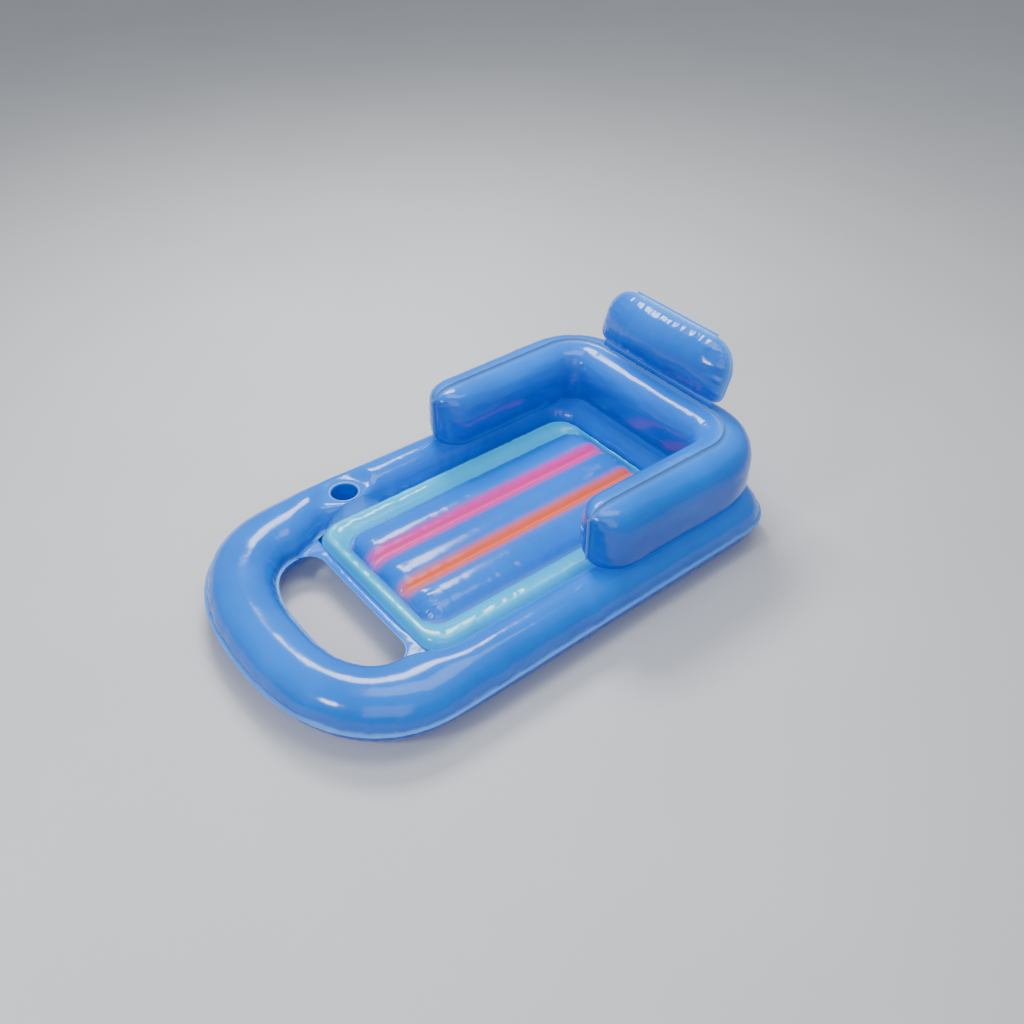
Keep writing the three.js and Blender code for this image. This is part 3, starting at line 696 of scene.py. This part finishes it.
def make_web(name, side, node, material):
    """An upright coloured web between the mattress faces, drawn in a little between its welds."""
    low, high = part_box(node)
    rows, columns = 120, 16

    def place(row, column):
        y = low.y + (high.y - low.y) * row / rows
        share = 2 * column / columns - 1
        lean = 0.0016 * noise.noise(Vector((y / 0.03, share, side)))
        foot = 0.0055 * max(abs(share) - 0.8, 0) / 0.2
        x = side * WEB_X + lean + foot
        return Vector((x, y, SEAT_Z + share * WEB_HALF_HEIGHT)), (abs(share) ** 6, 0, 0)

    bm = surface(rows, columns, place, Vector((1, 0, 0)))
    return thicken(piece(name, bm, "root", [node], material), 0.0008)


# ---------------------------------------------------------------- arm and back rest
def rest_stations():
    """Middle, outward direction, half width and weld reach along the U, arm tip to arm tip."""
    turns = [HALF_TURN / 2 * k / 26 for k in range(27)]
    tip = [Vector((REST_X, REST_FRONT_Y + REST_END * (1 - math.cos(t)))) for t in turns]
    corner_x = REST_X - REST_CORNER
    half = joined(
        [Vector((REST_X, REST_FRONT_Y - FLANGE)), Vector((REST_X, REST_FRONT_Y - FLANGE / 2)), tip[0]],
        tip,
        straight(tip[-1], (REST_X, REST_Y - REST_CORNER), 44),
        quarter((corner_x, REST_Y - REST_CORNER), REST_CORNER, 0, 34),
        straight((corner_x, REST_Y), (0, REST_Y), 26),
    )
    path = half + [Vector((-p.x, p.y)) for p in half[-2::-1]]
    stations = []
    for k, point in enumerate(path):
        ahead, behind = path[min(k + 1, len(path) - 1)], path[max(k - 1, 0)]
        course = (ahead - behind).normalized()
        closing = min(max((point.y - REST_FRONT_Y) / REST_END, 0), 1)
        swell = REST_HALF * math.sqrt(1 - (1 - closing) ** 2)
        stations.append((point, Vector((course.y, -course.x)), swell, closing))
    return stations


def make_rest():
    stations = rest_stations()
    run = travelled(stations)
    turns = 30
    loop = [(1, k) for k in range(-2, turns + 1)] + [(-1, k) for k in range(turns - 1, -3, -1)]
    middle_z = (REST_TOP + REST_LOW) / 2
    half_height = (REST_TOP - REST_LOW) / 2

    def full(value, power=REST_FULLNESS):
        return math.copysign(abs(value) ** (2 / power), value)

    def place(row, column):
        point, outward, half, closing = stations[row]
        side, k = loop[column % len(loop)]
        angle = HALF_TURN * max(k, 0) / turns
        flange = -k / 2 if k < 0 else 0
        bent = 1 if point.y > REST_Y - REST_CORNER and abs(point.x) > REST_X - REST_CORNER else 0
        reach = half_height * min(angle, HALF_TURN - angle)
        puff = gather(run[row], side + 2 * (angle > 1.5), reach, 0.0036 + 0.0028 * bent)
        tip = gather(angle * 0.1, 5 * side, closing * REST_END, 0.006)
        heavy = REST_FULLNESS + 1.1 * (side > 0 and angle > HALF_TURN / 2)
        fat = half * (1.05 if side > 0 else 1)
        offset = WELD + fat * full(max(math.sin(angle), 0), heavy) + (puff + tip) * (half > 0 and k > 0)
        offset += slack((point.x, point.y, angle), 0.0016) * (half > 0.02 and k > 0)
        droop = 0.010 * closing * math.sin(angle) ** 2 * (angle > HALF_TURN / 2) * math.sin(2 * angle)
        drawn = 0.66 + 0.34 * math.sqrt(1 - (1 - min(closing * 1.25, 1)) ** 2)
        z = middle_z + half_height * full(math.cos(angle), heavy) * drawn + FLANGE * flange + droop
        z += 0.0016 * flange * noise.noise(Vector((run[row] / 0.016, 2, 0)))
        flat = point + outward * side * offset
        seam = 1 if flange or closing == 0 else math.exp(-reach / 0.005)
        return Vector((flat.x, flat.y, z)), (seam, 0, 0)

    bm = surface(len(stations) - 1, len(loop), place)
    seat_valve(bm, "rest")
    return piece("arm_rest_film", bm, "root", ["rest_outer_sheet", "rest_inner_sheet"], azure)


# ---------------------------------------------------------------- head pillow
def pillow_point(x, height, depth):
    """A place on the leaning pillow: across, up from its hinge and back from its middle."""
    up = Vector((0, math.sin(PILLOW_LEAN), math.cos(PILLOW_LEAN)))
    back = Vector((0, math.cos(PILLOW_LEAN), -math.sin(PILLOW_LEAN)))
    return HINGE + Vector((x, 0, 0)) + up * height + back * depth


def pillow_inset(height):
    top = height > PILLOW_HEIGHT / 2
    radius = PILLOW_TOP_CORNER if top else PILLOW_FOOT_CORNER
    beyond = height - PILLOW_HEIGHT + radius if top else radius - height
    return radius - math.sqrt(max(radius**2 - min(max(beyond, 0), radius) ** 2, 0))


def make_pillow():
    rows, turns = 64, 104
    columns = [(side, k) for side in (1, -1) for k in range(turns + 5)]

    def place(row, column):
        tilt = HALF_TURN * min(max(row - 2, 0), rows - 4) / (rows - 4)
        v = -0.8 * math.cos(tilt) - 0.2 * (1 - 2 * tilt / HALF_TURN)
        beyond = {0: -1, 1: -0.5, rows - 1: 0.5, rows: 1}.get(row, 0)
        side, k = columns[column % len(columns)]
        k = k if side > 0 else turns + 4 - k
        flange = {0: -1, 1: -0.5, turns + 3: 0.5, turns + 4: 1}.get(k, 0)
        turn = HALF_TURN * min(max(k - 2, 0), turns) / turns
        u = -0.8 * math.cos(turn) - 0.2 * (1 - 2 * turn / HALF_TURN)
        height = PILLOW_HEIGHT * (1 + v) / 2
        half = PILLOW_HALF - pillow_inset(height)
        swell = (max(1 - u * u, 0) * max(1 - v * v, 0)) ** PILLOW_SWELL
        x = u * half
        depth = (PILLOW_BACK if side > 0 else PILLOW_FRONT) * swell
        if swell > 0.05:
            depth += gather(x, side, min(height, PILLOW_HEIGHT - height), 0.0058)
            depth += gather(height, 5 * side + (x > 0), half - abs(x), 0.0058)
            depth += slack((x, height, side), 0.0018)
        from_edge = min(height, PILLOW_HEIGHT - height, half - abs(x))
        seam = 1.0 if flange or beyond else math.exp(-from_edge / 0.004)
        wall = WELD + depth * (not flange and not beyond)
        up = PILLOW_FOOT + height + beyond * FLANGE
        return pillow_point(x + flange * FLANGE, up, side * wall), (seam, 0, 0)

    bm = surface(rows, len(columns), place)
    seat_valve(bm, "pillow")
    made = piece(
        "head_pillow_film", bm, "pillow", ["pillow_front_sheet", "pillow_back_sheet"], azure
    )
    return made


def make_hinge_strip():
    """The welded strip the pillow hangs on; it bends along its middle."""
    rows, columns = 160, 10
    half_height = 0.0125

    def place(row, column):
        x = strip_low.x + (strip_high.x - strip_low.x) * row / rows
        share = 2 * column / columns - 1
        lean = PILLOW_LEAN if share > 0 else 0
        height = share * half_height
        ripple = 0.0011 * noise.noise(Vector((x / 0.011, share, 2)))
        point = HINGE + Vector((x, math.sin(lean) * height + ripple, math.cos(lean) * height))
        return point, (abs(share) ** 3, 0, 0)

    bm = surface(rows, columns, place, Vector((0, -1, 0)))
    strip = piece("pillow_hinge_film", bm, None, ["pillow_hinge_strip"], azure)
    thicken(strip, 0.0008)
    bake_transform(strip)
    return strip


# ---------------------------------------------------------------- valves
def make_strap(valve):
    """The strap that keeps the plug: out from its head, round, and back to the side of the stem."""
    out = joint_axis(valve + "_plug_pull").normalized()
    stem = middle_of(valve + "_valve_stem")
    mouth = stem + out * 0.0095
    side = middle_of(valve + "_valve_strap") - stem
    side = (side - out * side.dot(out)).normalized()
    breadth = out.cross(side)
    rows, columns = 24, 4

    def place(row, column):
        turn = HALF_TURN * (row / rows - 0.5)
        reach = 0.0075 + 0.0058 * math.cos(turn) ** 0.7 if abs(turn) < 1.57 else 0.0072
        rise = -0.0010 - 0.0027 * math.sin(turn)
        width = 0.0025 * (1 - 0.35 * math.cos(turn))
        return mouth + side * reach + out * rise + breadth * width * (2 * column / columns - 1), (0.2, 0, 0)

    bm = surface(rows, columns, place, side)
    strap = piece(valve + "_valve_tether", bm, None, [valve + "_valve_strap"], valve_clear)
    thicken(strap, 0.0011)
    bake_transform(strap)
    return strap


def finish_valve(valve):
    for part in ("flange", "stem", "plug", "flap"):
        node = frame["nodes"][f"{valve}_valve_{part}"]
        node.data.materials.clear()
        node.data.materials.append(valve_clear)
    make_strap(valve)


# ---------------------------------------------------------------- studio
def make_floor():
    bm = bmesh.new()
    bmesh.ops.create_grid(bm, x_segments=8, y_segments=8, size=7)
    mesh = bpy.data.meshes.new("floor")
    bmesh.ops.translate(bm, verts=bm.verts, vec=(0, 0, -0.0005))
    bm.to_mesh(mesh)
    bm.free()
    mesh.materials.append(studio_floor())
    floor = bpy.data.objects.new("floor", mesh)
    bpy.context.scene.collection.objects.link(floor)


def softbox(name, place, target, width, depth, watts, colour=(1, 1, 1)):
    lamp = bpy.data.lights.new(name, "AREA")
    lamp.shape = "RECTANGLE"
    lamp.size, lamp.size_y, lamp.energy, lamp.color = width, depth, watts, colour
    made = bpy.data.objects.new(name, lamp)
    made.location = place
    made.rotation_euler = (Vector(target) - Vector(place)).to_track_quat("-Z", "Y").to_euler()
    bpy.context.scene.collection.objects.link(made)


def light_studio():
    softbox("key", (-1.6, 0.6, 2.6), (0, 0, 0.1), 1.2, 0.8, 70)
    softbox("fill", (2.4, -1.8, 2.2), (0, 0, 0.1), 2.4, 2.0, 26, (0.92, 0.96, 1))
    softbox("window", (0.3, -2.8, 1.9), (0, -0.2, 0.1), 0.5, 0.5, 26)
    softbox("top", (0.2, 0.2, 3.4), (0, 0, 0), 1.4, 2.4, 40)
    world = bpy.data.worlds.new("studio")
    world.use_nodes = True
    sky = world.node_tree.nodes["Background"]
    sky.inputs[0].default_value = (0.86, 0.91, 1, 1)
    sky.inputs[1].default_value = 0.36
    bpy.context.scene.world = world


def set_camera():
    azimuth, elevation, distance = math.radians(51.463), math.radians(39.902), 2.71667
    level = math.cos(elevation)
    back = Vector((math.sin(azimuth) * level, -math.cos(azimuth) * level, math.sin(elevation)))
    right = Vector((math.cos(azimuth), math.sin(azimuth), 0))
    up = back.cross(right)
    camera = bpy.data.cameras.new("camera")
    camera.lens, camera.sensor_width = 37.25, 36
    made = bpy.data.objects.new("camera", camera)
    place = back * distance + right * 0.080806 + up * 0.124696
    turn = Matrix((right, up, back)).transposed().to_4x4()
    made.matrix_world = Matrix.Translation(place) @ turn
    bpy.context.scene.collection.objects.link(made)
    bpy.context.scene.camera = made


set_camera()
light_studio()
make_floor()
make_ring()
make_cup()
make_band()
make_border()
make_mattress()
make_web("pink_web", -1, "seat_web_pink", pink)
make_web("orange_web", 1, "seat_web_orange", orange)
make_rest()
make_pillow()
make_hinge_strip()
for chamber in ("base", "seat", "rest", "pillow"):
    finish_valve(chamber)
